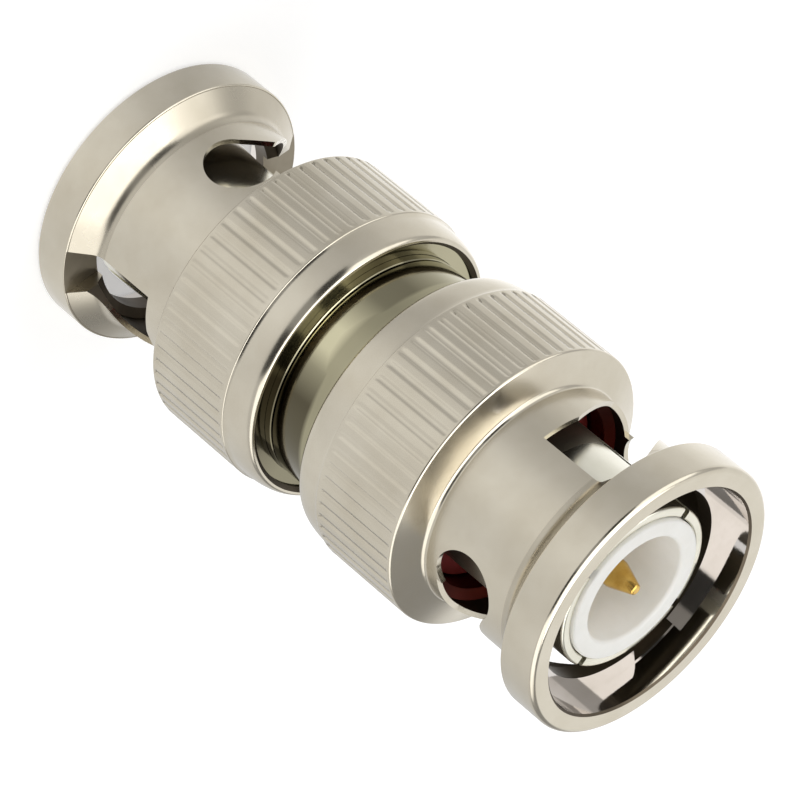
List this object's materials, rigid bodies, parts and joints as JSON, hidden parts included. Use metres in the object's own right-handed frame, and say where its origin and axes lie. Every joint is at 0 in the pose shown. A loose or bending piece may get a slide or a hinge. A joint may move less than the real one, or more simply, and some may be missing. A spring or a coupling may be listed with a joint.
{
  "type": "bnc connector",
  "caption": "Straight plug-to-plug bayonet coaxial adapter: slim round body with a knurled, spring-loaded bayonet coupling nut facing outwards at each end.",
  "frame": {"origin": "centre of the lower mouth, on the plane the adapter stands on", "axes": "+Z along the common axis of both plugs, from the lower mouth to the upper mouth"},
  "size_m": [0.0144, 0.0144, 0.0333],
  "materials": {
    "nickel": "nickel plate on machined brass, soft satin gloss",
    "spring_steel": "stamped spring steel",
    "gold": "gold plate on machined brass",
    "fluoropolymer": "machined white fluoropolymer",
    "silicone": "moulded red silicone rubber"
  },
  "bodies": {
    "core": {"middle_sleeve": "nickel", "body_lower": "nickel", "body_upper": "nickel", "outer_contact_lower": "nickel", "outer_contact_upper": "nickel", "insulator_lower": "fluoropolymer", "insulator_upper": "fluoropolymer", "centre_contact": "gold", "gasket_lower": "silicone", "gasket_upper": "silicone", "spring_washer_lower_a": "spring_steel", "spring_washer_upper_a": "spring_steel"},
    "lower_thrust": {"thrust_washer_lower": "spring_steel", "spring_washer_lower_b": "spring_steel"},
    "lower_nut": {"coupling_nut_lower": "nickel", "retaining_ring_lower": "spring_steel"},
    "upper_thrust": {"thrust_washer_upper": "spring_steel", "spring_washer_upper_b": "spring_steel"},
    "upper_nut": {"coupling_nut_upper": "nickel", "retaining_ring_upper": "spring_steel"}
  },
  "joints": [
    {"name": "lower_nut_slide", "type": "slide", "parent": "core", "child": "lower_thrust", "axis": [0, 0, -1], "range_m": [0, 0.0012], "stiffness_N_per_m": 6000, "deforming": ["spring_washer_lower_a", "spring_washer_lower_b"]},
    {"name": "lower_nut_turn", "type": "hinge", "parent": "lower_thrust", "child": "lower_nut", "pos_m": [0, 0, 0.0075], "axis": [0, 0, 1], "continuous": true},
    {"name": "upper_nut_slide", "type": "slide", "parent": "core", "child": "upper_thrust", "axis": [0, 0, 1], "range_m": [0, 0.0012], "stiffness_N_per_m": 6000, "deforming": ["spring_washer_upper_a", "spring_washer_upper_b"]},
    {"name": "upper_nut_turn", "type": "hinge", "parent": "upper_thrust", "child": "upper_nut", "pos_m": [0, 0, 0.0258], "axis": [0, 0, 1], "continuous": true}
  ]
}
